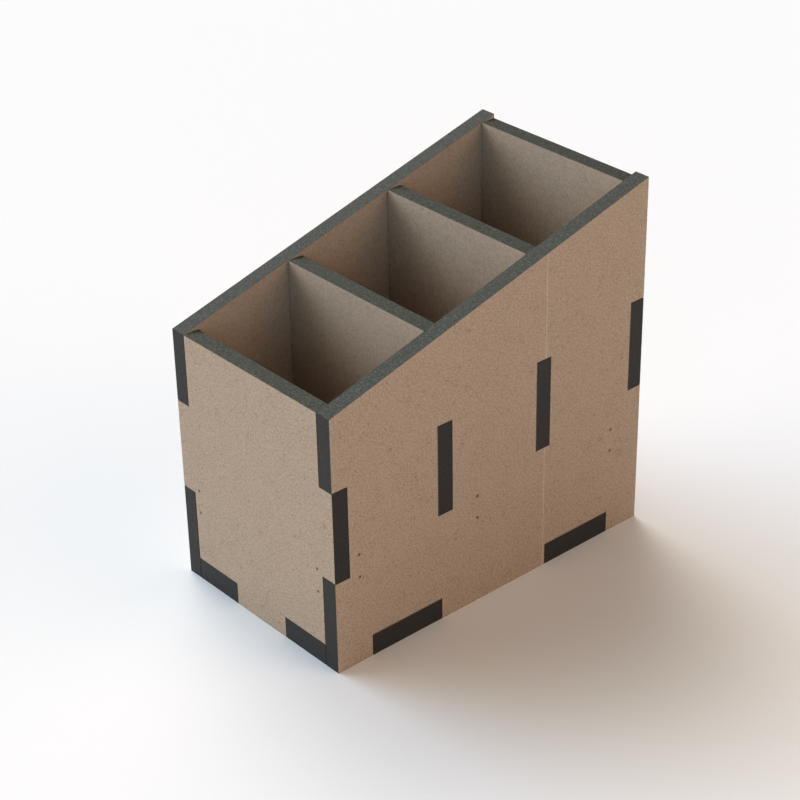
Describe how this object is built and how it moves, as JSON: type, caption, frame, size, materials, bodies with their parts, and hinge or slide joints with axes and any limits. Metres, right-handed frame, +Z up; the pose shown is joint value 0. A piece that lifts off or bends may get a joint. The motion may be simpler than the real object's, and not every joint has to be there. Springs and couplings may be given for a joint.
{
  "type": "paint rack organizer",
  "caption": "Open-topped desk rack of glued laser-cut fibreboard, with a sloping top and compartments in a row for paint bottles and brushes.",
  "frame": {"origin": "on the ground, under the middle of the rack's outer box", "axes": "+Z up; +Y along the rack from the low front to the tall back; +X across it, to the right as seen from the front"},
  "size_m": [0.08, 0.138, 0.1325],
  "materials": {
    "fibreboard": "raw laser-cut fibreboard with scorched edges, matt"
  },
  "bodies": {
    "root": {"base_panel": "fibreboard", "left_side_panel": "fibreboard", "right_side_panel": "fibreboard", "front_panel": "fibreboard", "front_divider": "fibreboard", "rear_divider": "fibreboard", "back_panel": "fibreboard"}
  },
  "joints": []
}
